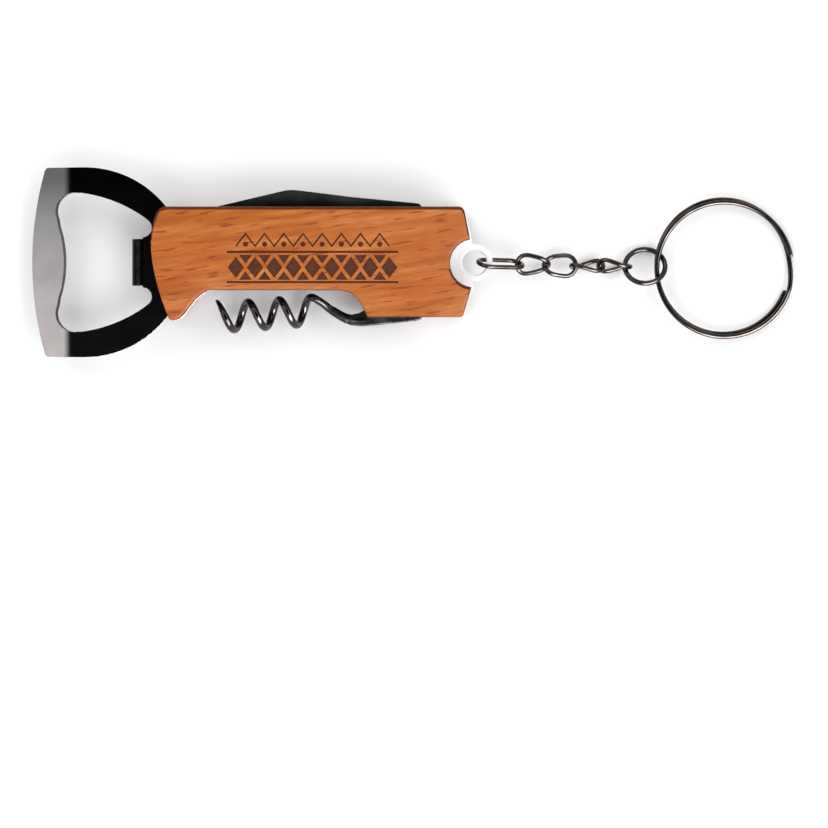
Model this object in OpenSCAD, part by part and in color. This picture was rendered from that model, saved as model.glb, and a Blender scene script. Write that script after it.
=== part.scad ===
// Folding souvenir bottle opener with knife blade, corkscrew, chain and key ring.
// Millimetres. The tool lies on its back scale: +X runs from the opener head to the key ring,
// +Y is the blade's side, +Z is the front, and z = 0 is the surface that it lies on.
// The layers of the handle, from the back: scale, liner, corkscrew, opener plate, blade, liner, scale.

/* [Handle] */
// Thickness of each wooden scale
scale_t = 3.6; // [3.4:0.1:4]
// Thickness of each steel liner
liner_t = 0.8; // [0.6:0.1:1]
// Thickness of the opener plate
plate_t = 1.8; // [1.6:0.1:2]
// Height of the gap that the corkscrew's tang turns in
screw_gap = 2; // [1.9:0.1:2.4]
// Height of the gap that the blade turns in
blade_gap = 1.6; // [1.5:0.1:2]
// Upper edge of the wooden scales
wood_top = 13; // [12.6:0.1:13.2]
// Depth of the burnt ornament
ornament_depth = 0.2; // [0.1:0.05:0.5]

/* [Opener head] */
// Distance of the head's front edge from the origin
head_reach = 89.95; // [89:0.05:91]
// Half of the head's width
head_half = 22.35; // [22:0.05:23]
// Radius of the head's front edge
front_r = 79; // [55:0.5:80]
// Angle that the front bar is bent down by
bar_bend = 18; // [10:1:22]
// Outer radius of the curled lip
lip_r = 2.65; // [2.4:0.05:3]
// Half of the lip's width
lip_half = 5.5; // [5:0.1:5.8]

/* [Eyelet] */
// Radius of the hole in the eyelet
eyelet_hole_r = 2.9; // [2.7:0.05:3]
// Outer radius of the eyelet
eyelet_r = 4.3; // [4.2:0.05:4.5]

/* [Knife] */
// Blade thickness
blade_t = 1.4; // [1:0.1:1.45]
// Length from the pivot to the tip
blade_reach = 52.5; // [50:0.5:53]

/* [Corkscrew] */
// Wire diameter of the worm
worm_wire = 1.8; // [1.6:0.1:2]
// Radius of the worm's wire centre about its axis
worm_r = 3.2; // [3:0.1:3.3]
// Advance of one turn
worm_pitch = 7.35; // [7:0.05:7.5]
// Number of turns
worm_turns = 3; // [2:1:3]

/* [Chain and rings] */
// Wire diameter of the chain links
link_wire = 1.1; // [1:0.05:1.1]
// Length between the end wires of an ordinary link
link_len = 7.65; // [7.5:0.05:7.8]
// Length between the end wires of the first link
first_link_len = 11.1; // [10.5:0.1:11.2]
// Half of the distance between a link's two strands
link_half = 2.5; // [2.45:0.05:2.6]
// Wire diameter of the jump ring
jump_wire = 1.2; // [1:0.05:1.2]
// Radius of the jump ring's wire centre
jump_r = 4.75; // [4.6:0.05:5]
// Outer radius of one coil of the key ring
key_ring_r = 16.5; // [15:0.05:16.5]
// Width of the key ring's wire across the coil
coil_w = 1.2; // [1:0.05:1.25]
// Height of the key ring's wire
coil_h = 1; // [0.9:0.05:1]

/* [Hidden] */
$fn = 48;

// heights of the layers
z_back_liner = scale_t;
z_screw = z_back_liner + liner_t;
z_plate = z_screw + screw_gap;
z_blade = z_plate + plate_t;
z_front_liner = z_blade + blade_gap;
z_front_scale = z_front_liner + liner_t;
z_top = z_front_scale + scale_t;
z_worm = z_screw + screw_gap / 2;

// pivots of the blade and the corkscrew, mirrored about the handle's middle line
pivot_x = 4.5;
pivot_y = 8;
pin_r = 1.4;
running_fit = 0.05;
tang_r = 4;
// free height on each side of the corkscrew's tang
tang_play = 0.1;

// rivets that hold the liners, the springs and the plate
rivets = [[-55, 2.6], [-49, -2.4], [-24, 0]];
rivet_r = 1;
press_fit = 0.02;
// how far a cut runs past the part that it cuts
overcut = 1;
// how far the liners stand out of the wood at the lower tail corner
liner_tail = 0.55;

// eyelet and the notch of the wood around it
eyelet = [14.2, -0.1];
notch_r = 5.65;
eyelet_bevel = 0.35;

// mouth of the opener: the lip's fold line and the line that the front bar bends about
lip_fold = -63.8;
lip_curl = 75;
bend_x = -80.4;
bar_len = 12;
head_shoulder = [-77.4, -1.95];
shoulder_r = 24.3;

// worm axis: where the wire reaches the crimp, and the axis' slope
worm_tip_x = -46.2;
worm_tip_y = -13;
worm_slope = 4.2;
crimp_start = [-19.2, -11.05];
crimp_end = [-15.4, -13.25];
crimp_r = 1.3;
// how long the shank keeps its direction at its two ends
shank_pull = [1.9, 3];
// the worm's point: its share of the full wire, and the growth of that share in one turn
point_size = 0.4;
point_growth = 2.4;
// the point also turns outwards by point_flare over its first point_arc degrees
point_flare = 0.8;
point_arc = 100;

// chain: distance between the wire centres of two pieces that hook each other
hook_gap = 1.22;
jump_gap = 1.36;
wire_sides = 10;
end_steps = 10;
strand_steps = 6;
// yaw, pitch and roll at both ends of each link
link_yaw = [-1, -2, -2, 1, -2];
link_pitch = [-24, -8, 1, 1, 0];
link_roll = [[-70, -70], [10, 70], [-50, 10], [75, 135], [42, 102]];
jump_yaw = 1;
jump_roll = -32;
link_start = [15.3, -0.2, 8.32];
// key ring: its left edge from the jump ring's end, and its slope down to the right
ring_offset = [-2.6, -0.5, 0];
ring_tilt = 3.6;

// points along an arc about c
function arc(c, r, a0, a1, n = 12) =
  [for (i = [0:n]) let (a = a0 + (a1 - a0) * i / n) [c[0] + r * cos(a), c[1] + r * sin(a)]];

// points along a cubic curve, without its first point
function curve(p, q, r, s, n = 8) =
  [for (i = [1:n]) let (t = i / n, u = 1 - t)
    u * u * u * p + 3 * u * u * t * q + 3 * u * t * t * r + t * t * t * s];

// the same outline mirrored in the X axis, in the opposite order
function mirrored(points) = [for (i = [len(points) - 1:-1:0]) [points[i][0], -points[i][1]]];

function unit(v) = v / norm(v);
function heading(yaw, pitch) = [cos(pitch) * cos(yaw), cos(pitch) * sin(yaw), sin(pitch)];

// the corkscrew's recess in the lower edge of every layer
recess_outline = concat(
  curve([-54.6, -12.9], [-52.4, -10.8], [-50.8, -6.6], [-47, -6.6]),
  [[-18, -6.6]],
  curve([-18, -6.6], [-13.6, -6.6], [-12.5, -9.3], [-11, -12.9])
);

// outline of the handle with its corkscrew recess; tail lets a plate stand out at the lower tail
function handle_outline(tail = 0) = concat(
  [[10.4, wood_top], [-58.1, wood_top]],
  curve([-58.1, wood_top], [-60.9, wood_top], [-61.2, 9.6], [-61.8, 5]),
  curve([-61.8, 5], [-62, -1], [-59.6, -8.5], [-57.7, -13]),
  curve([-57.7, -13], [-57.2, -14], [-55.6, -13.9], [-54.6, -12.9], 5),
  recess_outline,
  [[10.8 + tail, -12.9]],
  curve([10.8 + tail, -12.9], [11.3 + tail, -12.9], [11.5 + tail, -12.7], [11.7 + tail, -12.1], 3),
  [[13.5 + tail, -5.9]],
  arc([14.1, -0.3], notch_r, 262, 100, 14),
  [[13, 6.3], [12, 11.4]],
  curve([12, 11.4], [11.7, 12.6], [11.3, wood_top], [10.4, wood_top], 4)
);

// outline of the opener head, closed behind the wood
head_corner_y = head_half - 0.9;
head_corner_turn = asin(head_corner_y / front_r);
head_corner_x = front_r * (1 - cos(head_corner_turn)) - head_reach;
head_upper = concat(
  arc(head_shoulder, shoulder_r, 26, 90, 16),
  curve(
    [head_corner_x + 1.1, head_half], [head_corner_x + 0.6, head_half],
    [head_corner_x + 0.25, head_half - 0.25], [head_corner_x, head_corner_y], 3
  ),
  arc([front_r - head_reach, 0], front_r, 180 - head_corner_turn, 180, 10)
);

// mouth: fulcrum edge, lobe, top edge, notch beside the lip
mouth_upper = concat(
  arc([-109.8, 0], 27.4, 0, 18, 6),
  arc([-80, 12], 4.4, 204, 77, 12),
  arc([-82.5, -16.4], 33, 83, 54.5, 10),
  arc([-63.9, 8.1], 2.2, 40, -88, 8),
  [[lip_fold, lip_half]]
);

// flat core of the opener plate inside the handle, from the top edge round to the tail
core_outline = concat(
  [[10.6, wood_top - 0.05], [-57.5, wood_top - 0.05], [-57.5, -12.2], [-56, -13], [-54.7, -12.8]],
  recess_outline,
  [[11.4, -12.85], [12, -12.2], [13.8, -5.8], [13.8, 4.2], [12.2, 11.4], [11.8, 12.4]]
);

module at_pivot(side) {
  translate([pivot_x, side * pivot_y, 0]) children();
}

// a bore of radius r through the whole handle
module bore(r) {
  translate([0, 0, -overcut]) cylinder(r = r, h = z_top + 2 * overcut);
}

module frame_bores() {
  at_pivot(1) bore(pin_r + press_fit);
  at_pivot(-1) bore(pin_r + press_fit);
  for (p = rivets) translate([p[0], p[1], 0]) bore(rivet_r + press_fit);
}

// Burnt ornament: a band of lozenges between rails, and a fine zigzag with dots above it
module ornament() {
  pitch = 4.5;
  count = 9;
  start = -41.8;
  middle = -1.3;
  rail_h = 0.5;
  rail_end = 2.1;
  for (i = [0:count - 1]) translate([start + pitch * i, middle]) {
    polygon([[-1.9, 0], [0, 2.5], [1.9, 0], [0, -2.5]]);
  }
  for (i = [0:count - 2]) translate([start + pitch * (i + 0.5), middle]) {
    for (s = [-1, 1]) polygon([[-1.5, s * 2.9], [1.5, s * 2.9], [0, s * 0.9]]);
  }
  for (y = [-5, 2.1]) translate([start - rail_end, y]) {
    square([pitch * (count - 1) + 2 * rail_end, rail_h]);
  }
  for (i = [0:count - 2]) translate([start + pitch * i, 3.4]) {
    polygon([[0, 0], [pitch / 2, 2.9], [pitch, 0], [pitch, 0.6], [pitch / 2, 3.5], [0, 0.6]]);
    translate([pitch / 2, 0.75]) circle(r = 0.6);
  }
}

module scale_solid(z) {
  difference() {
    translate([0, 0, z]) linear_extrude(scale_t) polygon(handle_outline());
    children();
  }
}

module back_scale() {
  color("peru") scale_solid(0);
}

module front_scale() {
  color("peru") scale_solid(z_front_scale) {
    translate([0, 0, z_top - ornament_depth]) linear_extrude(ornament_depth + overcut) ornament();
  }
}

module liner_solid(z) {
  difference() {
    translate([0, 0, z]) linear_extrude(liner_t) polygon(handle_outline(liner_tail));
    frame_bores();
  }
}

module back_liner() {
  color("silver") liner_solid(z_back_liner);
}

module front_liner() {
  color("silver") liner_solid(z_front_liner);
}

// Opener plate: head, flat core and eyelet in one piece, with the bar bent and the lip curled
module plate_outline() {
  difference() {
    union() {
      polygon(concat(head_upper, mirrored(head_upper)));
      polygon(core_outline);
      translate(eyelet) circle(r = eyelet_r);
    }
    polygon(concat(mouth_upper, mirrored(mouth_upper)));
    translate(eyelet) circle(r = eyelet_hole_r);
  }
}

// side view of the plate: flat from the tail to the bend, then sloping down
module plate_side() {
  tail_x = eyelet[0] + 2 * eyelet_r;
  bar_x = bend_x - bar_len;
  bar_z = z_blade - bar_len * tan(bar_bend);
  polygon([
    [tail_x, z_plate], [tail_x, z_blade], [bend_x, z_blade], [bar_x, bar_z],
    [bar_x, bar_z - plate_t / cos(bar_bend)], [bend_x + plate_t * tan(bar_bend / 2), z_plate]
  ]);
}

module curled_lip() {
  side = 2 * lip_r;
  translate([lip_fold, lip_half, z_blade - lip_r]) rotate([90, 0, 0]) linear_extrude(2 * lip_half)
    intersection() {
      difference() {
        circle(r = lip_r);
        circle(r = lip_r - plate_t);
      }
      polygon([[0, 0], [0, side], [-side, side], [-side, side / tan(lip_curl)]]);
    }
}

module opener_plate() {
  color("dimgray") difference() {
    union() {
      intersection() {
        linear_extrude(z_top) plate_outline();
        translate([0, 2 * head_half, 0]) rotate([90, 0, 0]) linear_extrude(4 * head_half) plate_side();
      }
      curled_lip();
    }
    frame_bores();
    translate([eyelet[0], eyelet[1], z_blade - eyelet_bevel])
      cylinder(r1 = eyelet_hole_r, r2 = eyelet_hole_r + overcut, h = overcut);
    translate([eyelet[0], eyelet[1], z_plate + eyelet_bevel - overcut])
      cylinder(r1 = eyelet_hole_r + overcut, r2 = eyelet_hole_r, h = overcut);
  }
}

// Blade, folded shut: spine outwards, edge inside the handle
blade_tip = [pivot_x - blade_reach, 12.2];
blade_outline = concat(
  [blade_tip, blade_tip + [0.8, 0.7]],
  [[-31.2, 16.65]],
  curve([-31.2, 16.65], [-29.8, 17.05], [-28.2, 17.05], [-26.8, 16.85], 5),
  [[-14.4, 15.3], [0.4, 13.9]],
  curve([0.4, 13.9], [1.1, 13.85], [1.5, 13.7], [1.7, 13.2], 3),
  arc([pivot_x, pivot_y], tang_r, 128, -138, 28),
  [[-5.2, 5.3], [-6, 6.1], [-7, 5]],
  [[-36, 5]],
  curve([-36, 5], [-42, 5.1], [-46.3, 8.6], blade_tip, 10)
);

module blade() {
  lift = (blade_gap - blade_t) / 2;
  color("darkslategray") difference() {
    translate([0, 0, z_blade + lift]) linear_extrude(blade_t) polygon(blade_outline);
    at_pivot(1) bore(pin_r + running_fit);
  }
}

module pin(r) {
  translate([0, 0, z_back_liner]) cylinder(r = r, h = z_front_scale - z_back_liner);
}

module blade_pivot() {
  color("gray") at_pivot(1) pin(pin_r);
}

module corkscrew_pivot() {
  color("gray") at_pivot(-1) pin(pin_r);
}

module frame_rivets() {
  color("gray") for (p = rivets) translate([p[0], p[1], 0]) pin(rivet_r);
}

// Back spring: a root that the rivets hold, and a bar that reaches to the tang
module spring_solid(z, gap, side) {
  difference() {
    translate([0, 0, z]) linear_extrude(gap) scale([1, side]) polygon([
      [-59, -4.6], [-46, -4.6], [-43, -1.4], [5.6, -0.6],
      [5.6, 3.85], [-43, 3.2], [-46, 4.6], [-59, 4.6]
    ]);
    frame_bores();
  }
}

module blade_spring() {
  color("slategray") spring_solid(z_blade, blade_gap, 1);
}

module corkscrew_spring() {
  color("slategray") spring_solid(z_screw, screw_gap, -1);
}

// A section swept along a path. Each ring of points lies across the path, turned by its normal.
module sweep(path, normals, section, sizes, closed = false) {
  n = len(path);
  m = len(section);
  function along(i) = closed
    ? unit(path[(i + 1) % n] - path[(i + n - 1) % n])
    : unit(path[min(i + 1, n - 1)] - path[max(i - 1, 0)]);
  points = [for (i = [0:n - 1]) let (t = along(i), v = unit(cross(t, normals[i])), u = cross(v, t))
    for (p = section) path[i] + sizes[i] * (p[0] * u + p[1] * v)];
  last = closed ? n - 1 : n - 2;
  sides = [for (i = [0:last]) for (j = [0:m - 1]) let (k = (i + 1) % n, q = (j + 1) % m)
    [i * m + j, k * m + j, k * m + q, i * m + q]];
  caps = closed ? [] : [[for (j = [0:m - 1]) j], [for (j = [m - 1:-1:0]) (n - 1) * m + j]];
  polyhedron(points = points, faces = concat(sides, caps), convexity = 6);
}

function round_section(r, sides) =
  [for (j = [0:sides - 1]) let (a = 360 * j / sides) [r * cos(a), r * sin(a)]];

// Corkscrew worm: a tapered point, three right-handed turns and the shank that enters the crimp
worm_steps = 20;
worm_lead = [cos(worm_slope), sin(worm_slope), 0];
worm_side = [-sin(worm_slope), cos(worm_slope), 0];
function worm_point(a) = let (r = worm_r + point_flare * pow(max(0, 1 - a / point_arc), 2))
  [worm_tip_x, worm_tip_y, z_worm]
  + worm_pitch * a / 360 * worm_lead + r * (cos(a) * worm_side + [0, 0, sin(a)]);
worm_end = worm_point(360 * worm_turns);
shank_bend = worm_end + shank_pull[0] * unit(worm_pitch / (2 * PI) * worm_lead + [0, 0, worm_r]);
crimp_a = [crimp_start[0], crimp_start[1], z_worm];
crimp_b = [crimp_end[0], crimp_end[1], z_worm];
crimp_way = unit(crimp_b - crimp_a);
worm_path = concat(
  [for (i = [0:worm_steps * worm_turns]) worm_point(360 * i / worm_steps)],
  curve(worm_end, shank_bend, crimp_a - shank_pull[1] * crimp_way, crimp_a, 8),
  [crimp_b]
);
// the first normal is carried along the path, so that the wire doesn't twist
worm_normals = [for (i = 0, v = worm_side; i < len(worm_path);
    i = i + 1, v = i < len(worm_path)
      ? let (t = unit(worm_path[min(i + 1, len(worm_path) - 1)] - worm_path[i - 1]))
        unit(v - (v * t) * t) : v) v];

module corkscrew_worm() {
  sizes = [for (i = [0:len(worm_path) - 1]) min(1, point_size + point_growth * i / worm_steps)];
  color("dimgray") sweep(worm_path, worm_normals, round_section(worm_wire / 2, wire_sides), sizes);
}

// Corkscrew tang: sheet steel plate on the pivot, with a crimped barrel around the shank
tang_outline = concat(
  [[-16.4, -14], [-15.2, -14.8], [-12.3, -15.05], [-8.9, -14.8], [0.6, -13.75], [1.9, -13.3]],
  arc([pivot_x, -pivot_y], tang_r, 232, 470, 24),
  [[-2, -7], [-9, -9.4], [-11.6, -11.1]],
  curve([-11.6, -11.1], [-12.6, -12], [-13.6, -12.3], [-15.6, -12.1], 4)
);

module corkscrew_tang() {
  plate = screw_gap - 2 * tang_play;
  way = atan2(crimp_way[1], crimp_way[0]);
  crimp_len = norm(crimp_b - crimp_a);
  color("dimgray") difference() {
    union() {
      translate([0, 0, z_screw + tang_play]) linear_extrude(plate) polygon(tang_outline);
      translate(crimp_a) rotate([0, 90, way]) cylinder(r = crimp_r, h = crimp_len);
    }
    translate(crimp_a) rotate([0, 90, way]) translate([0, 0, -overcut])
      cylinder(r = worm_wire / 2 + press_fit, h = crimp_len + overcut + press_fit);
    at_pivot(-1) bore(pin_r + running_fit);
  }
}

// Chain: each piece starts hooked on the end wire of the piece before it
link_dir = [for (i = [0:len(link_yaw) - 1]) heading(link_yaw[i], link_pitch[i])];
function link_length(i) = i == 0 ? first_link_len : link_len;
// place of the end wire of link i
function link_end(i) = i == 0
  ? link_start + first_link_len * link_dir[0]
  : link_end(i - 1) + (link_len - hook_gap) * link_dir[i];

function stadium(length, r, n, m) = concat(
  [for (i = [0:n - 1]) let (a = 90 + 180 * i / n) [r + r * cos(a), r * sin(a)]],
  [for (i = [0:m - 1]) [r + (length - 2 * r) * i / m, -r]],
  [for (i = [0:n - 1]) let (a = 180 * i / n - 90) [length - r + r * cos(a), r * sin(a)]],
  [for (i = [0:m - 1]) [length - r - (length - 2 * r) * i / m, r]]
);

module link(i) {
  length = link_length(i);
  flat = stadium(length, link_half, end_steps, strand_steps);
  function roll(p) = link_roll[i][0] + (link_roll[i][1] - link_roll[i][0]) * p[0] / length;
  path = [for (p = flat) [p[0], p[1] * cos(roll(p)), p[1] * sin(roll(p))]];
  normals = [for (p = flat) [0, -sin(roll(p)), cos(roll(p))]];
  translate(link_end(i) - length * link_dir[i]) rotate([0, -link_pitch[i], link_yaw[i]])
    sweep(path, normals, round_section(link_wire / 2, wire_sides), [for (p = flat) 1], true);
}

module chain_link_1() {
  color("darkslategray") link(0);
}

module chain_link_2() {
  color("darkslategray") link(1);
}

module chain_link_3() {
  color("darkslategray") link(2);
}

module chain_link_4() {
  color("darkslategray") link(3);
}

module chain_link_5() {
  color("darkslategray") link(4);
}

// Jump ring: a round wire ring, rolled so that one side passes over the key ring
jump_dir = heading(jump_yaw, 0);
jump_middle = link_end(4) + (jump_r - jump_gap) * jump_dir;
jump_end = jump_middle + jump_r * jump_dir;

module jump_ring() {
  color("darkslategray") translate(jump_middle) rotate([jump_roll, 0, jump_yaw])
    rotate_extrude() translate([jump_r, 0]) circle(d = jump_wire);
}

// Key ring: two flat coils of one wire, which step past each other at the right-hand side
coil_gap = 0.05;
coil_step = coil_h + coil_gap;
coil_shift = 0.3;
ring_steps = 44;
ring_mid_r = key_ring_r - coil_w / 2;
// angle of the wire's first end, and the stretch of its path that steps down
ring_from = 10;
step_from = 330;
step_span = 30;
step_count = 6;
// how far down the wire has stepped: 0 on the upper coil, 1 on the lower one
function stepped(a) = let (t = min(1, max(0, (a - step_from) / step_span))) t * t * (3 - 2 * t);
function ring_point(a) = let (s = 1 - 2 * stepped(a), b = ring_from + a) [
  ring_mid_r * cos(b) + coil_shift * s * (1 + cos(b)) / 2,
  ring_mid_r * sin(b) - coil_shift * s,
  coil_step * s / 2
];
ring_path = concat(
  [for (i = [0:ring_steps]) ring_point(step_from * i / ring_steps)],
  [for (i = [1:step_count - 1]) ring_point(step_from + step_span * i / step_count)],
  [for (i = [0:ring_steps]) ring_point(step_from + step_span + step_from * i / ring_steps)]
);
ring_corner = 0.3;
ring_section = let (w = coil_w / 2, h = coil_h / 2, c = ring_corner) [
  [h - c, -w], [h, c - w], [h, w - c], [h - c, w], [c - h, w], [-h, w - c], [-h, c - w], [c - h, -w]
];

module key_ring() {
  color("darkslategray")
    translate(jump_end + ring_offset) rotate([0, ring_tilt, 0])
      translate([key_ring_r, 0, 0])
        sweep(ring_path, [for (p = ring_path) [0, 0, 1]], ring_section, [for (p = ring_path) 1]);
}

back_scale();
front_scale();
back_liner();
front_liner();
opener_plate();
blade();
blade_pivot();
blade_spring();
corkscrew_worm();
corkscrew_tang();
corkscrew_pivot();
corkscrew_spring();
frame_rivets();
chain_link_1();
chain_link_2();
chain_link_3();
chain_link_4();
chain_link_5();
jump_ring();
key_ring();
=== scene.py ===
"""Looks of the folding souvenir bottle opener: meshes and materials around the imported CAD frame.

Each piece is a refined copy of one CAD node, which it replaces, and rides on that node's body.
X runs from the opener's head to the key ring, Y across the handle, and Z up from the floor.
"""

import math

import bmesh
import bpy
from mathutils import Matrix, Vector


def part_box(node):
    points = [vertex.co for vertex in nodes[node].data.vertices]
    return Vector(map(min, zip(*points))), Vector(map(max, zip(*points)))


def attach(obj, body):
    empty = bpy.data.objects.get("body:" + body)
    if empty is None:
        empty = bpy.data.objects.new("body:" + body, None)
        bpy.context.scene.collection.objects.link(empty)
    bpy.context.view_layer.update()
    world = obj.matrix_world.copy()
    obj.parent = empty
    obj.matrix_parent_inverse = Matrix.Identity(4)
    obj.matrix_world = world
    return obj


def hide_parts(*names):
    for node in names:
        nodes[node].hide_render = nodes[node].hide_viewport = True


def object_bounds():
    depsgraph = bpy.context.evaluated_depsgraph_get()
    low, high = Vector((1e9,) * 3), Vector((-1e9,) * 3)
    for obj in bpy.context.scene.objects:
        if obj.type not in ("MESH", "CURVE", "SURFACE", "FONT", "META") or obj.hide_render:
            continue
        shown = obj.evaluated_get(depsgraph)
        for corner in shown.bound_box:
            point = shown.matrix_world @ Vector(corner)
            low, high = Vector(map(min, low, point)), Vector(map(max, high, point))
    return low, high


# a millimetre in Blender's metres
MM = 0.001

# copies of the CAD nodes: vertices closer than WELD join, faces within FLAT_ANGLE of each other
# become one, and edges above SMOOTH_ANGLE stay sharp or get a soft edge of a few segments
WELD = 0.002 * MM
FLAT_ANGLE = math.radians(0.5)
SMOOTH_ANGLE = math.radians(32)
EDGE_SEGMENTS = 3

# wires: how far two triangles may fold and skew to become one quad, and how often it is divided
QUAD_FOLD = math.radians(50)
QUAD_SKEW = math.radians(60)
WIRE_LEVELS = 2

# how far each wire grows, because the facets of its CAD model cut inside the round
LINK_GROWTH = 0.02 * MM
WORM_GROWTH = 0.06 * MM
KEY_RING_GROWTH = 0.0

# a surface whose normal rises less than this is a side wall
WALL = 0.5

# wood: depths below its face that count as the burnt ornament's floor and as the outline's wall
BURNT_DEPTH = 0.15 * MM
THROUGH_DEPTH = 1 * MM

# rounded edge of the wood: painted shade darkens it where its normal leans to +Y by more than
# DARK_SIDE, or rises by less than DARK_TILT
ROUND_WIDTH = 0.75 * MM
ROUND_SEGMENTS = 6
DARK_SIDE = 0.1
DARK_TILT = 0.6

# opener plate: the bend of the front bar, which the CAD model draws as a sharp crease
PLATE_T = 1.8 * MM
BEND_X = -80.4 * MM
BEND_ANGLE = math.radians(18)
BEND_HALF = 2.2 * MM
BEND_CUTS = 14

# widths of the softened edges, and the angle that the steps of the plate's bend stay below
PLATE_EDGE = 0.22 * MM
PLATE_EDGE_ANGLE = math.radians(40)
LINER_EDGE = 0.1 * MM
SPRING_EDGE = 0.15 * MM
PIN_EDGE = 0.12 * MM
BLADE_EDGE = 0.12 * MM

# the curled lip of the plate, which gets a near-black painted shade: where its fold starts, how far
# the curl reaches, half of its width
LIP_FOLD = -63.8 * MM
LIP_REACH = 2.75 * MM
LIP_HALF = 5.55 * MM

# where the plate and the liners turn from polished to a painted white reflection, towards the tail
GLARE_FROM = 3 * MM
GLARE_TO = 8 * MM

# a painted reflection grades the plate and liners across the tool, darker on +Y and lighter on -Y,
# from this far on +Y to as far on -Y
SHEEN_SIDE = 22 * MM

# corkscrew shank: the barrel that the tang clasps it with, and how slim it is made in the swoop
CRIMP_START = Vector((-19.2, -11.05, 5.4)) * MM
CRIMP_END = Vector((-15.4, -13.25, 5.4)) * MM
CRIMP_R = 1.32 * MM
CRIMP_SLIM = 0.6

# the swoop from the round shank into the flat tang, in mm: X, Y, half its width, half its height
SWOOP = [
    (-24.4, -8.04, 0.80, 0.80),
    (-23.4, -8.50, 0.93, 0.93),
    (-21.4, -9.70, 0.96, 0.95),
    (-19.4, -11.30, 0.99, 0.97),
    (-17.6, -12.45, 1.05, 1.00),
    (-16.0, -13.18, 1.20, 1.02),
    (-14.4, -13.58, 1.32, 1.02),
    (-12.6, -13.70, 1.36, 1.00),
    (-10.4, -13.66, 1.30, 0.92),
    (-8.0, -13.50, 1.00, 0.85),
]
SWOOP_SIDES = 16

# blending the swoop, the barrel and the tang into one skin
TANG_VOXEL = 0.16 * MM
TANG_SMOOTHING = 10

# most values of a noise texture lie between these two
NOISE_LOW = 0.3
NOISE_HIGH = 0.7

# sockets of the Mix node when it mixes colours
MIX_FACTOR = 0
MIX_A = 6
MIX_B = 7
MIX_RESULT = 2

# sizes of a metal's fine marks in mm along X, Y and Z: lines across or along the tool, or grain
ACROSS = (0.05, 3, 0.05)
ALONG = (6, 0.08, 0.08)
FINE = (0.5, 0.5, 0.5)

# stage: half of the floor's width in metres, and how far it lies under the object
FLOOR_HALF = 3.0
FLOOR_GAP = 0.02 * MM

# camera: straight above the tool, and so far away that the view is nearly flat
VIEW_WIDTH = 194.8 * MM
VIEW_Y = -35.7 * MM
LENS = 400
SENSOR_WIDTH = 36

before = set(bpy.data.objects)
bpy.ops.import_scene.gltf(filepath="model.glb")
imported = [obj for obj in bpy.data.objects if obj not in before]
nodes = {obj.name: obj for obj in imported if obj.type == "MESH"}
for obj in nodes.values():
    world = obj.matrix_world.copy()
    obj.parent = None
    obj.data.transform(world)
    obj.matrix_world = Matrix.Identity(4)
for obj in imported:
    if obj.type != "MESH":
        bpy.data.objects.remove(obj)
cad_low, cad_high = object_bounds()


# ---------------------------------------------------------------- meshes

def copied(node):
    """A bmesh of a CAD node, with the vertices joined where its faces meet."""
    source = nodes[node].data
    mesh = bmesh.new()
    verts = [mesh.verts.new(v.co) for v in source.vertices]
    for polygon in source.polygons:
        mesh.faces.new([verts[i] for i in polygon.vertices])
    bmesh.ops.remove_doubles(mesh, verts=mesh.verts, dist=WELD)
    mesh.normal_update()
    return mesh


def flattened(mesh):
    """Joins the triangles of each flat face."""
    bmesh.ops.dissolve_limit(
        mesh, angle_limit=FLAT_ANGLE, verts=mesh.verts, edges=mesh.edges
    )
    mesh.normal_update()
    return mesh


def made(mesh, name, node, body, materials, smooth=True):
    """Turns a bmesh into a piece that rides on a body and replaces a CAD node.
    Where it isn't smooth all over, its edges above SMOOTH_ANGLE stay sharp."""
    data = bpy.data.meshes.new(name)
    mesh.to_mesh(data)
    mesh.free()
    for material in materials:
        data.materials.append(material)
    data.shade_smooth()
    if not smooth:
        data.set_sharp_from_angle(angle=SMOOTH_ANGLE)
    piece = bpy.data.objects.new(name, data)
    bpy.context.scene.collection.objects.link(piece)
    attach(piece, body)
    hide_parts(node)
    return piece


def bevelled(piece, width, angle=SMOOTH_ANGLE):
    """Rounds the edges of a piece that are sharper than the angle, and keeps its faces flat."""
    bevel = piece.modifiers.new("edges", "BEVEL")
    bevel.width = width
    bevel.segments = EDGE_SEGMENTS
    bevel.limit_method = "ANGLE"
    bevel.angle_limit = angle
    bevel.miter_outer = "MITER_ARC"
    normals = piece.modifiers.new("flat faces", "WEIGHTED_NORMAL")
    normals.keep_sharp = True


def plate_piece(name, node, body, material, width):
    """A sheet, bar or pin of the CAD model with edges softened to the given width."""
    mesh = flattened(copied(node))
    bevelled(made(mesh, name, node, body, [material], smooth=False), width)


def wire_piece(name, node, body, material, growth, sag=None):
    """A wire of the CAD model, with its facets turned into a round, smooth surface.
    sag gives how far it moves along Y at a place on X. It never reaches below the CAD model."""
    mesh = copied(node)
    if sag:
        for vert in mesh.verts:
            vert.co.y += sag(vert.co.x)
    bmesh.ops.join_triangles(
        mesh,
        faces=mesh.faces,
        angle_face_threshold=QUAD_FOLD,
        angle_shape_threshold=QUAD_SKEW,
    )
    mesh.normal_update()
    for vert in mesh.verts:
        vert.co += vert.normal * growth
        vert.co.z = max(vert.co.z, cad_low.z)
    piece = made(mesh, name, node, body, [material])
    surface = piece.modifiers.new("round", "SUBSURF")
    surface.levels = WIRE_LEVELS
    surface.render_levels = WIRE_LEVELS


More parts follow.
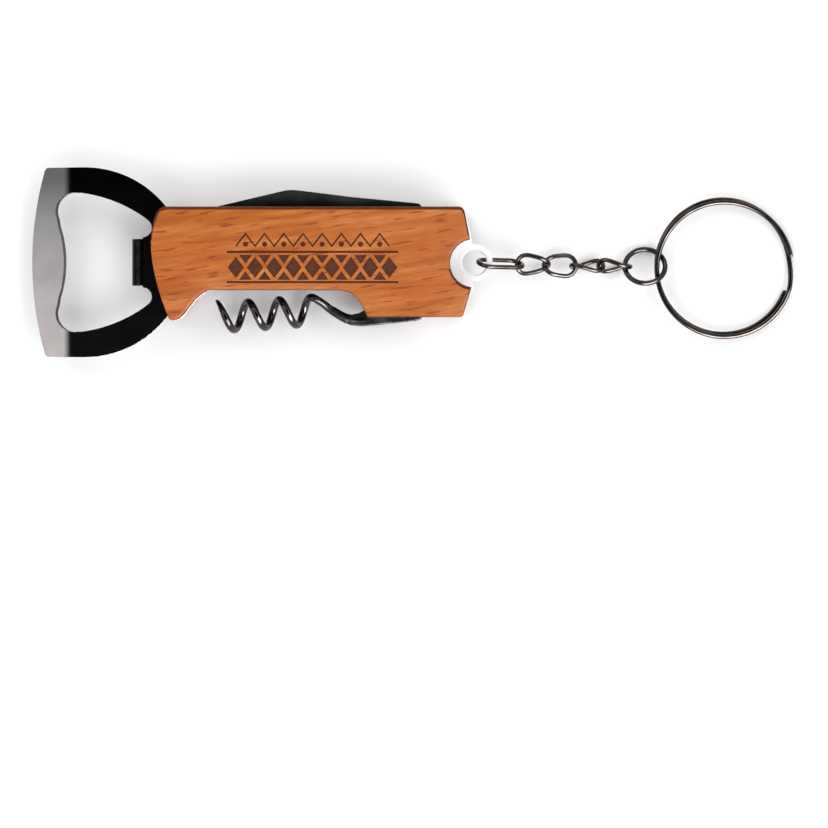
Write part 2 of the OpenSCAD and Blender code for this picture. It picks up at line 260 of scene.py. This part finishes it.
def wooden_scale(name, node, face_z, materials):
    """A wooden scale with a rounded outer edge.
    The materials are the face, the edge and side walls darkened with painted shade, and the burnt
    ornament."""
    mesh = flattened(copied(node))
    rim = []
    for edge in mesh.edges:
        level = all(abs(v.co.z - face_z) < WELD for v in edge.verts)
        walls = [f for f in edge.link_faces if abs(f.normal.z) < WALL]
        through = walls and max(abs(v.co.z - face_z) for v in walls[0].verts) > THROUGH_DEPTH
        if level and through:
            rim.append(edge)
    for face in mesh.faces:
        depth = max(abs(face_z - v.co.z) for v in face.verts)
        if BURNT_DEPTH < depth < THROUGH_DEPTH:
            face.material_index = 2
        # side walls take the edge material, with its painted shade
        elif abs(face.normal.z) < WALL:
            face.material_index = 1
    rounded = bmesh.ops.bevel(
        mesh,
        geom=rim,
        offset=ROUND_WIDTH,
        segments=ROUND_SEGMENTS,
        profile=0.5,
        affect="EDGES",
        clamp_overlap=False,
    )["faces"]
    mesh.normal_update()
    for face in rounded:
        # painted shade on the rounded edge where it faces +Y or stands steep
        dark = face.normal.y > DARK_SIDE or abs(face.normal.z) < DARK_TILT
        face.material_index = 1 if dark else 0
    made(mesh, name, node, "root", materials, smooth=False)


def bend_height(x):
    """How far the rounded bend's top lies below the plate's flat part at x, and its slope there."""
    past = BEND_X - x
    if past <= -BEND_HALF:
        return 0.0, 0.0
    slope = math.tan(BEND_ANGLE)
    if past >= BEND_HALF:
        return slope * past, BEND_ANGLE
    share = (past + BEND_HALF) / (2 * BEND_HALF)
    return slope * share * share * BEND_HALF, math.atan(slope * share)


def bend_plate(mesh, top):
    """Turns the plate's crease into a rounded bend, with the walls of the bar square to the sheet.
    top is the height of the plate's flat part."""
    for i in range(BEND_CUTS + 1):
        x = BEND_X - BEND_HALF + 2 * BEND_HALF * i / BEND_CUTS
        geometry = mesh.verts[:] + mesh.edges[:] + mesh.faces[:]
        bmesh.ops.bisect_plane(
            mesh, geom=geometry, dist=WELD / 4, plane_co=(x, 0, 0), plane_no=(1, 0, 0)
        )
    for vert in mesh.verts:
        past = BEND_X - vert.co.x
        if past < -BEND_HALF:
            continue
        crease = max(past, 0) * math.tan(BEND_ANGLE)
        thick = PLATE_T / math.cos(BEND_ANGLE) if past > 0 else PLATE_T
        depth = min(1, max(0, (top - crease - vert.co.z) / thick)) * PLATE_T
        drop, slope = bend_height(vert.co.x)
        vert.co.x += depth * math.sin(slope)
        vert.co.z = top - drop - depth * math.cos(slope)
    mesh.normal_update()


def opener_plate(materials):
    """The opener's plate. The materials are the faces, the sheared edges, dull steel darkened
    further with painted shade, and the curled lip, darkened with painted shade.
    """
    node = "opener_plate"
    mesh = flattened(copied(node))
    bend_plate(mesh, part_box(node)[1].z)
    for face in mesh.faces:
        middle = face.calc_center_median()
        # the curled lip: near-black painted shade
        curled = LIP_FOLD - LIP_REACH < middle.x < LIP_FOLD and abs(middle.y) < LIP_HALF
        if curled:
            face.material_index = 2
        # the head's side walls: dull cut steel, darkened further with painted shade
        elif abs(face.normal.z) < WALL and middle.x < 0:
            face.material_index = 1
    piece = made(mesh, "opener_head_plate", node, "root", materials, smooth=False)
    bevelled(piece, PLATE_EDGE, PLATE_EDGE_ANGLE)


def swoop_sag(x):
    """How far the swoop's centre line lies off the CAD model's straight shank at x."""
    for (x0, y0, _, _), (x1, y1, _, _) in zip(SWOOP, SWOOP[1:]):
        if x0 <= x / MM < x1:
            curved = (y0 + (y1 - y0) * (x / MM - x0) / (x1 - x0)) * MM
            way = CRIMP_END - CRIMP_START
            return curved - CRIMP_START.y - (x - CRIMP_START.x) * way.y / way.x
    return 0.0


def shank_swoop(mesh):
    """Adds a tube to the tang's mesh that widens from the round shank into the flat of the tang."""
    centres = [Vector((x * MM, y * MM, CRIMP_START.z)) for x, y, _, _ in SWOOP]
    rings = []
    for i, centre in enumerate(centres):
        before = centres[max(i - 1, 0)]
        after = centres[min(i + 1, len(centres) - 1)]
        across = (after - before).normalized().cross(Vector((0, 0, 1)))
        wide, high = SWOOP[i][2:]
        ring = []
        for j in range(SWOOP_SIDES):
            turn = 2 * math.pi * j / SWOOP_SIDES
            offset = across * wide * math.cos(turn) + Vector((0, 0, high * math.sin(turn)))
            ring.append(mesh.verts.new(centre + offset * MM))
        rings.append(ring)
    for ring, following in zip(rings, rings[1:]):
        for j in range(SWOOP_SIDES):
            k = (j + 1) % SWOOP_SIDES
            mesh.faces.new((ring[j], ring[k], following[k], following[j]))
    mesh.faces.new(rings[0][::-1])
    mesh.faces.new(rings[-1])


def corkscrew_tang(material):
    """The tang and the barrel on the shank, blended into one smooth pressed shape."""
    node = "corkscrew_tang"
    mesh = copied(node)
    barrel = CRIMP_END - CRIMP_START
    way = barrel.normalized()
    for vert in mesh.verts:
        along = (vert.co - CRIMP_START).dot(way)
        outward = vert.co - CRIMP_START - way * along
        if along < barrel.length + WELD and outward.length < CRIMP_R:
            vert.co -= outward * (1 - CRIMP_SLIM)
    shank_swoop(mesh)
    bmesh.ops.recalc_face_normals(mesh, faces=mesh.faces)
    piece = made(mesh, "corkscrew_tang_pressing", node, "corkscrew", [material])
    remesh = piece.modifiers.new("blend", "REMESH")
    remesh.mode = "VOXEL"
    remesh.voxel_size = TANG_VOXEL
    remesh.use_smooth_shade = True
    soften = piece.modifiers.new("soften", "SMOOTH")
    soften.factor = 0.5
    soften.iterations = TANG_SMOOTHING


# ---------------------------------------------------------------- material nodes

def fill(tree, node, inputs):
    """Links the inputs of a node to sockets, or sets them to values."""
    for name, value in inputs.items():
        if isinstance(value, bpy.types.NodeSocket):
            tree.links.new(value, node.inputs[name])
        else:
            node.inputs[name].default_value = value


def add(tree, kind, inputs):
    """Adds a node and fills its inputs."""
    node = tree.nodes.new(kind)
    fill(tree, node, inputs)
    return node


def start(name):
    """A new material with its node tree and shader, and the object's own coordinates."""
    material = bpy.data.materials.new(name)
    material.use_nodes = True
    tree = material.node_tree
    shader = tree.nodes["Principled BSDF"]
    place = add(tree, "ShaderNodeTexCoord", {}).outputs["Object"]
    return material, tree, shader, place


def noise(tree, place, size, detail=3.0, rough=0.5):
    """Noise whose features have the given size in mm along X, Y and Z."""
    scale = [1 / (s * MM) for s in size]
    mapping = add(tree, "ShaderNodeMapping", {"Vector": place, "Scale": scale})
    inputs = {"Vector": mapping.outputs[0], "Scale": 1.0, "Detail": detail, "Roughness": rough}
    return add(tree, "ShaderNodeTexNoise", inputs).outputs["Fac"]


def ramp(tree, value, stops):
    """A colour ramp through (position, colour) stops."""
    node = add(tree, "ShaderNodeValToRGB", {"Fac": value})
    elements = node.color_ramp.elements
    while len(elements) < len(stops):
        elements.new(0.5)
    for element, (position, colour) in zip(elements, stops):
        element.position = position
        element.color = (*colour, 1)
    return node.outputs["Color"]


def remapped(tree, value, low, high, to_low, to_high):
    """Stretches the range from low to high onto the one from to_low to to_high."""
    inputs = {
        "Value": value, "From Min": low, "From Max": high, "To Min": to_low, "To Max": to_high
    }
    return add(tree, "ShaderNodeMapRange", inputs).outputs["Result"]


def spread(tree, value, to_low, to_high):
    """Stretches the usual range of a noise onto the given one."""
    return remapped(tree, value, NOISE_LOW, NOISE_HIGH, to_low, to_high)


def mixed(tree, factor, a, b):
    """A mix of two colours, each a socket or three numbers: a at factor 0 and b at factor 1."""
    node = tree.nodes.new("ShaderNodeMix")
    node.data_type = "RGBA"
    fill(tree, node, {MIX_FACTOR: factor})
    for socket, colour in ((MIX_A, a), (MIX_B, b)):
        plain = not isinstance(colour, bpy.types.NodeSocket)
        fill(tree, node, {socket: (*colour, 1) if plain else colour})
    return node.outputs[MIX_RESULT]


def average(tree, a, b):
    """The average of two textures."""
    return mixed(tree, 0.5, a, b)


def bump(tree, height, distance):
    """Relief from a height texture, whose full range is a distance in mm."""
    inputs = {"Height": height, "Distance": distance * MM}
    return add(tree, "ShaderNodeBump", inputs).outputs["Normal"]


# ---------------------------------------------------------------- materials

def metal(name, dark, light, roughness, lines=ALONG, blotch=4):
    """Plated metal: blotches of two tones and fine drawn lines, which both vary its roughness.
    blotch is the size of the blotches in mm."""
    material, tree, shader, place = start(name)
    patches = noise(tree, place, (blotch, blotch, blotch), 4)
    drawn = noise(tree, place, lines, 2)
    fill(tree, shader, {
        "Base Color": mixed(tree, spread(tree, patches, 0, 1), dark, light),
        "Roughness": spread(tree, average(tree, patches, drawn), *roughness),
        "Normal": bump(tree, drawn, 0.002),
        "Metallic": 1,
    })
    return material


def glare_tail_metal(name, sheen_tones, roughness, lines):
    """Plated steel with a painted white reflection at the tool's tail, where it turns matt and not
    metallic.
    Elsewhere a painted reflection grades it across the tool, darker on +Y and lighter on -Y."""
    smoke = (0.14, 0.136, 0.14)
    painted_glare_white = (0.96, 0.96, 0.96)
    tail_glare_roughness = (0.5, 0.5, 0.5)
    material, tree, shader, place = start(name)
    split = add(tree, "ShaderNodeSeparateXYZ", {"Vector": place}).outputs
    patches = noise(tree, place, (5, 5, 5), 4)
    drawn = noise(tree, place, lines, 2)
    # painted reflection: darker on +Y, lighter on -Y
    steel = ramp(tree, remapped(tree, split["Y"], SHEEN_SIDE, -SHEEN_SIDE, 0, 1), sheen_tones)
    steel = mixed(tree, spread(tree, patches, 0, 0.25), steel, smoke)
    shine = spread(tree, average(tree, patches, drawn), *roughness)
    # painted white reflection on the tail, which also turns matt and not metallic there
    tail = remapped(tree, split["X"], GLARE_FROM, GLARE_TO, 0, 1)
    fill(tree, shader, {
        "Base Color": mixed(tree, tail, steel, painted_glare_white),
        "Roughness": mixed(tree, tail, shine, tail_glare_roughness),
        "Metallic": remapped(tree, split["X"], GLARE_FROM, GLARE_TO, 1, 0),
        "Normal": bump(tree, drawn, 0.0015),
    })
    return material


def beech(name, char_and_shade=0.0, char_and_shade_colours=None, roughness=(0.34, 0.5)):
    """Lacquered beech: soft bands along the handle and short darker flecks, slightly slanted.
    burn is how far the two burn colours, a dark and a light one, cover it: charring on the burnt
    ornament, painted shade on the rounded edge."""
    band_stops = [
        (0.34, (0.35, 0.085, 0.011)),
        (0.5, (0.45, 0.126, 0.021)),
        (0.66, (0.53, 0.184, 0.050)),
    ]
    streak_colour = (0.35, 0.076, 0.011)
    fleck_colour = (0.25, 0.042, 0.007)
    material, tree, shader, place = start(name)
    slant = {"Vector": place, "Rotation": (0, 0, math.radians(-8))}
    grain = add(tree, "ShaderNodeMapping", slant).outputs[0]
    bands = noise(tree, grain, (20, 2.2, 2.2), 4)
    fibres = noise(tree, grain, (3.0, 0.35, 0.35), 3)
    flecks = noise(tree, grain, (5.0, 0.75, 0.75), 1.0, 0.3)
    colour = ramp(tree, bands, band_stops)
    colour = mixed(tree, remapped(tree, fibres, 0.35, 0.7, 0, 0.5), colour, streak_colour)
    colour = mixed(tree, remapped(tree, flecks, 0.62, 0.71, 0, 0.8), colour, fleck_colour)
    # the dark colours: charring on the burnt ornament, painted shade on the wood's edge
    if char_and_shade:
        dark, light = char_and_shade_colours
        char_and_shade_noise = noise(tree, place, (0.9, 0.9, 0.9), 4)
        char_and_shade_tone = ramp(tree, char_and_shade_noise, [(NOISE_LOW, dark), (NOISE_HIGH, light)])
        colour = mixed(tree, char_and_shade, colour, char_and_shade_tone)
    fill(tree, shader, {
        "Base Color": colour,
        "Roughness": spread(tree, fibres, *roughness),
        "Normal": bump(tree, average(tree, fibres, flecks), 0.05),
        "Specular IOR Level": 0.1,
    })
    return material


def white_floor():
    """Matt white paper, very slightly cloudy."""
    material, tree, shader, place = start("pale_floor")
    stops = [(NOISE_LOW, (0.95, 0.95, 0.95)), (NOISE_HIGH, (0.97, 0.97, 0.97))]
    clouds = noise(tree, place, (60, 60, 60))
    fill(tree, shader, {"Base Color": ramp(tree, clouds, stops), "Roughness": 0.9})
    return material


wood = beech("beech_wood")
# the wood's edge: the same beech, covered almost fully with painted shade
wood_shaded_edge = beech(
    "beech_shaded_edge",
    char_and_shade=0.95,
    char_and_shade_colours=((0.055, 0.008, 0.002), (0.10, 0.016, 0.004)),
)
burnt_wood = beech(
    "burnt_wood",
    char_and_shade=0.97,
    char_and_shade_colours=((0.042, 0.007, 0.002), (0.085, 0.017, 0.004)),
    roughness=(0.6, 0.8),
)
# plate: a painted reflection across the tool and a painted white reflection at the tail
nickel = glare_tail_metal(
    "smoked_nickel",
    sheen_tones=[
        (0.05, (0.075, 0.073, 0.075)),
        (0.3, (0.20, 0.192, 0.20)),
        (0.5, (0.258, 0.243, 0.254)),
        (0.95, (0.36, 0.336, 0.331)),
    ],
    roughness=(0.06, 0.12),
    lines=ACROSS,
)
# liners: the same painted reflection across the tool and painted white reflection at the tail
liner_steel = glare_tail_metal(
    "liner_steel",
    sheen_tones=[(0.3, (0.3, 0.3, 0.32)), (0.7, (0.4, 0.4, 0.42))],
    roughness=(0.2, 0.3),
    lines=ALONG,
)
# side walls of the head: dull cut steel, made near-black with painted shade
sheared_and_shaded = metal(
    "sheared_edge_and_shade",
    dark=(0.02, 0.02, 0.021),
    light=(0.045, 0.044, 0.045),
    roughness=(0.25, 0.4),
    lines=FINE,
)
# curled lip: near-black painted shade
lip_painted_shade = metal(
    "lip_painted_shade",
    dark=(0.002, 0.0025, 0.003),
    light=(0.013, 0.015, 0.016),
    roughness=(0.14, 0.3),
    blotch=1.2,
)
blade_steel = metal(
    "blade_steel",
    dark=(0.020, 0.024, 0.021),
    light=(0.038, 0.045, 0.040),
    roughness=(0.28, 0.38),
)
gunmetal = metal(
    "gunmetal_wire",
    dark=(0.021, 0.0175, 0.016),
    light=(0.062, 0.054, 0.050),
    roughness=(0.10, 0.18),
    lines=FINE,
)
worm_steel = metal(
    "worm_steel",
    dark=(0.026, 0.022, 0.0235),
    light=(0.075, 0.064, 0.067),
    roughness=(0.10, 0.2),
    lines=FINE,
)
tang_steel = metal(
    "tang_steel",
    dark=(0.011, 0.012, 0.011),
    light=(0.042, 0.042, 0.039),
    roughness=(0.22, 0.34),
    blotch=2.5,
)
spring_steel = metal(
    "spring_steel",
    dark=(0.16, 0.16, 0.17),
    light=(0.26, 0.26, 0.27),
    roughness=(0.3, 0.45),
)
pin_steel = metal(
    "pin_steel",
    dark=(0.42, 0.42, 0.43),
    light=(0.55, 0.55, 0.56),
    roughness=(0.25, 0.35),
)


# ---------------------------------------------------------------- pieces

def handle():
    """The pieces that stay still: wood, liners, opener plate, springs and pins."""
    woods = [wood, wood_shaded_edge, burnt_wood]
    wooden_scale("front_wood", "front_scale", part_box("front_scale")[1].z, woods)
    wooden_scale("back_wood", "back_scale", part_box("back_scale")[0].z, woods)
    for side in ("front", "back"):
        name = side + "_steel_liner"
        plate_piece(name, side + "_liner", "root", liner_steel, LINER_EDGE)
    opener_plate([nickel, sheared_and_shaded, lip_painted_shade])
    for name in ("blade_spring", "corkscrew_spring"):
        plate_piece(name + "_bar", name, "root", spring_steel, SPRING_EDGE)
    for name in ("blade_pivot", "corkscrew_pivot", "frame_rivets"):
        plate_piece(name + "_steel", name, "root", pin_steel, PIN_EDGE)


def tools():
    """The folding blade and the corkscrew, whose shank follows the swoop of its tang."""
    plate_piece("knife_blade", "blade", "blade", blade_steel, BLADE_EDGE)
    corkscrew_tang(tang_steel)
    worm = "corkscrew_worm"
    wire_piece("corkscrew_wire", worm, "corkscrew", worm_steel, WORM_GROWTH, swoop_sag)


def chain():
    """The five links and the two rings."""
    for i in range(1, 6):
        node = f"chain_link_{i}"
        wire_piece(node + "_wire", node, node, gunmetal, LINK_GROWTH)
    made(copied("jump_ring"), "jump_ring_wire", "jump_ring", "jump_ring", [gunmetal])
    wire_piece("key_ring_wire", "key_ring", "key_ring", gunmetal, KEY_RING_GROWTH)


# ---------------------------------------------------------------- stage, light, camera

def floor():
    """A wide pale floor just under the object."""
    middle = (cad_low + cad_high) / 2
    mesh = bmesh.new()
    bmesh.ops.create_grid(mesh, x_segments=1, y_segments=1, size=FLOOR_HALF)
    data = bpy.data.meshes.new("floor")
    mesh.to_mesh(data)
    mesh.free()
    data.materials.append(white_floor())
    piece = bpy.data.objects.new("floor", data)
    piece.location = (middle.x, middle.y, cad_low.z - FLOOR_GAP)
    bpy.context.scene.collection.objects.link(piece)


def softbox(name, place, size, power):
    """A rectangular light that faces the frame's origin, which lies in the handle."""
    light = bpy.data.lights.new(name, "AREA")
    light.shape = "RECTANGLE"
    light.size, light.size_y = size
    light.energy = power
    lamp = bpy.data.objects.new(name, light)
    lamp.location = place
    lamp.rotation_mode = "QUATERNION"
    lamp.rotation_quaternion = (-Vector(place)).to_track_quat("-Z", "Y")
    bpy.context.scene.collection.objects.link(lamp)
    return lamp


def studio():
    """Soft light from all sides under a dark zenith, which flat polished steel mirrors from above.
    The gloss card shows only in reflections: it doesn't light matt surfaces."""
    sky_stops = [
        (0.0, (0.4, 0.4, 0.4)),
        (0.5, (1, 1, 1)),
        (0.80, (1, 1, 1)),
        (0.90, (0.006, 0.006, 0.007)),
    ]
    world = bpy.data.worlds.new("studio")
    world.use_nodes = True
    tree = world.node_tree
    direction = add(tree, "ShaderNodeTexCoord", {}).outputs["Generated"]
    height = add(tree, "ShaderNodeSeparateXYZ", {"Vector": direction}).outputs["Z"]
    sky = {"Color": ramp(tree, height, sky_stops), "Strength": 1.65}
    fill(tree, tree.nodes["Background"], sky)
    bpy.context.scene.world = world
    softbox("key_softbox", place=(0.42, -0.55, 0.50), size=(0.9, 0.5), power=1.5)
    softbox("fill_softbox", place=(-0.50, 0.55, 0.35), size=(0.8, 0.2), power=1.6)
    gloss = softbox("gloss_card", place=(0.29, -0.37, 0.60), size=(0.8, 0.48), power=30)
    gloss.visible_diffuse = False


def camera():
    """Straight down, from the point that the flat layout is seen from."""
    data = bpy.data.cameras.new("camera")
    data.lens = LENS
    data.sensor_width = SENSOR_WIDTH
    distance = VIEW_WIDTH * LENS / SENSOR_WIDTH
    viewer = bpy.data.objects.new("camera", data)
    viewer.location = (0, VIEW_Y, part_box("opener_plate")[1].z + distance)
    bpy.context.scene.collection.objects.link(viewer)
    bpy.context.scene.camera = viewer


handle()
tools()
chain()
floor()
studio()
camera()
bpy.context.scene.view_settings.view_transform = "Standard"
